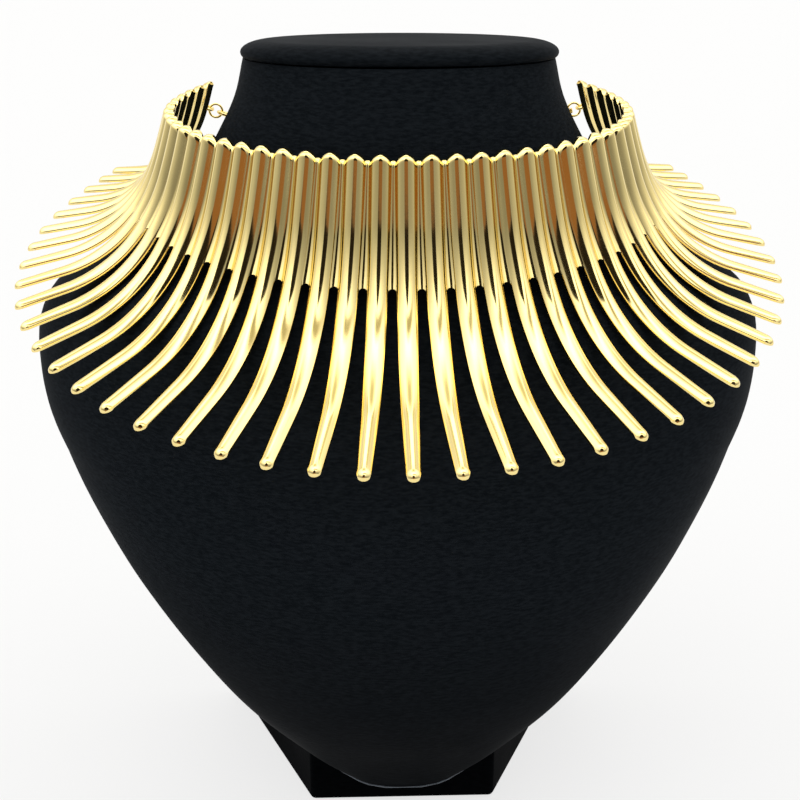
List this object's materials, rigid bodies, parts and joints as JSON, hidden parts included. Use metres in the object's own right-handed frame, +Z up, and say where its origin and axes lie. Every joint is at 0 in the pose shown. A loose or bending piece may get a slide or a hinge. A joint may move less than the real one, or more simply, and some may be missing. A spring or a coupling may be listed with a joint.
{
  "type": "collar choker necklace on a neck bust",
  "caption": "Polished gold collar choker whose ribbed band runs down into long outward-curving spikes, closed by a chain behind the neck of a plain black bust on its own foot.",
  "frame": {"origin": "middle of the whole in plan, on the surface that the bust's foot stands on", "axes": "+Z up along the neck, -Y the way the bust faces, +X across it to a viewer's right"},
  "size_m": [0.2458, 0.181, 0.262],
  "materials": {
    "gold_metal": "polished, pale gold plating",
    "black_leatherette": "satin, fine grain"
  },
  "bodies": {
    "root": {"collar": "gold_metal", "jump_ring_left": "gold_metal", "jump_ring_right": "gold_metal", "chain": "gold_metal", "clasp": "gold_metal", "bust_torso": "black_leatherette", "bust_neck_cap": "black_leatherette", "bust_foot": "black_leatherette"}
  },
  "joints": []
}
